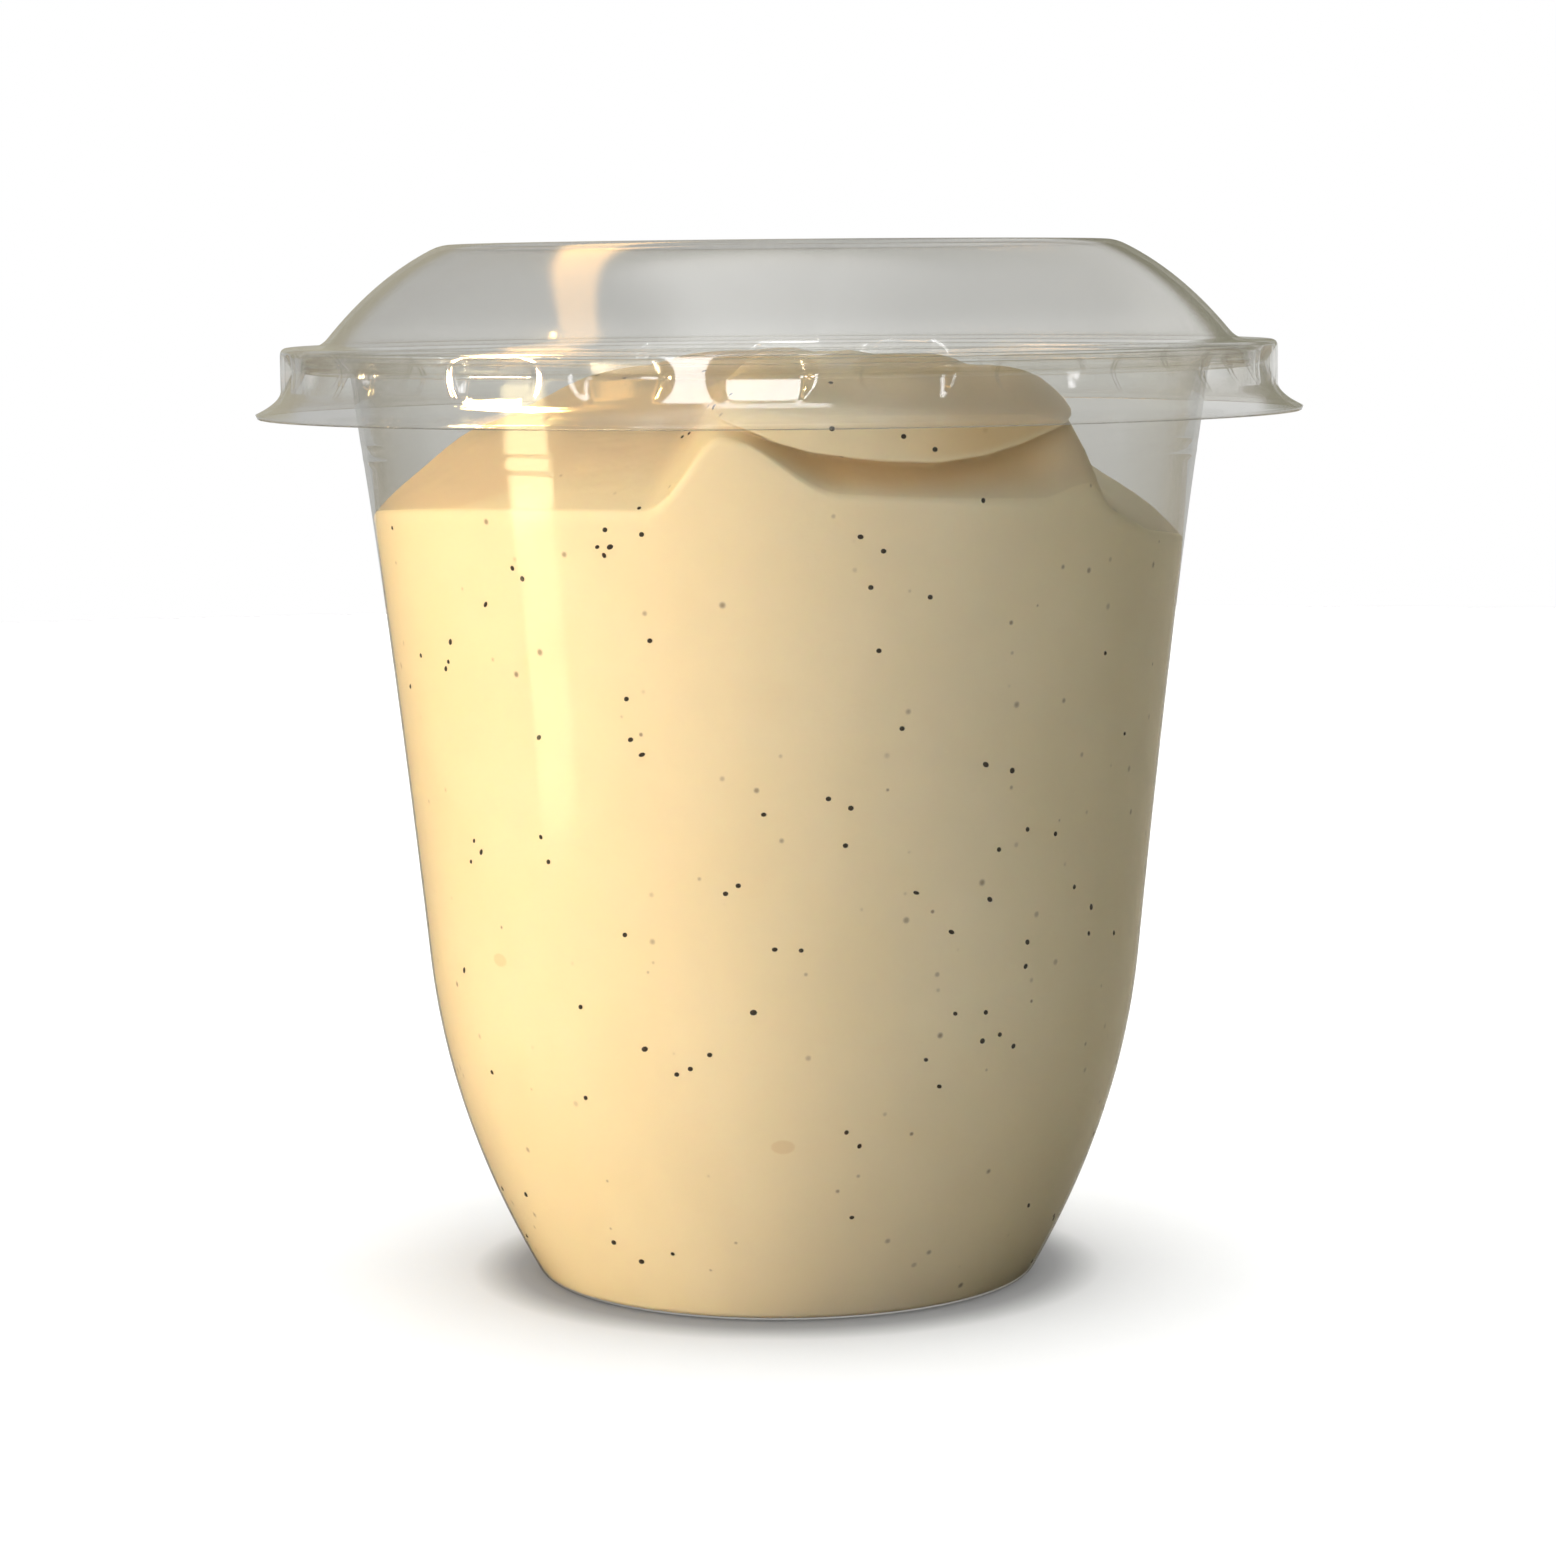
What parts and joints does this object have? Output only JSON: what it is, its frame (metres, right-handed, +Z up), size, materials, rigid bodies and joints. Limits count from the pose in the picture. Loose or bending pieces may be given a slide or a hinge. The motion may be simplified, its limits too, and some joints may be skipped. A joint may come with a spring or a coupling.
{
  "type": "ice cream tub",
  "caption": "Clear plastic tub with a clear domed press-on lid, filled to just under its rim with pale vanilla ice cream flecked with dark seeds.",
  "frame": {"origin": "middle of the cup's standing ring, on the surface it stands on", "axes": "+Z up through the middle of the lid; the front of the tub, as pictured, faces -Y"},
  "size_m": [0.1066, 0.1066, 0.1062],
  "materials": {
    "cup_plastic": "clear thermoformed plastic, glossy, faintly grey",
    "lid_plastic": "clear thermoformed plastic, glossy, a little greyer than the cup",
    "vanilla_ice_cream": "pale cream yellow, soft, smooth and slightly moist, with small black seeds"
  },
  "bodies": {
    "root": {"cup": "cup_plastic", "lid": "lid_plastic", "ice_cream": "vanilla_ice_cream"}
  },
  "joints": []
}
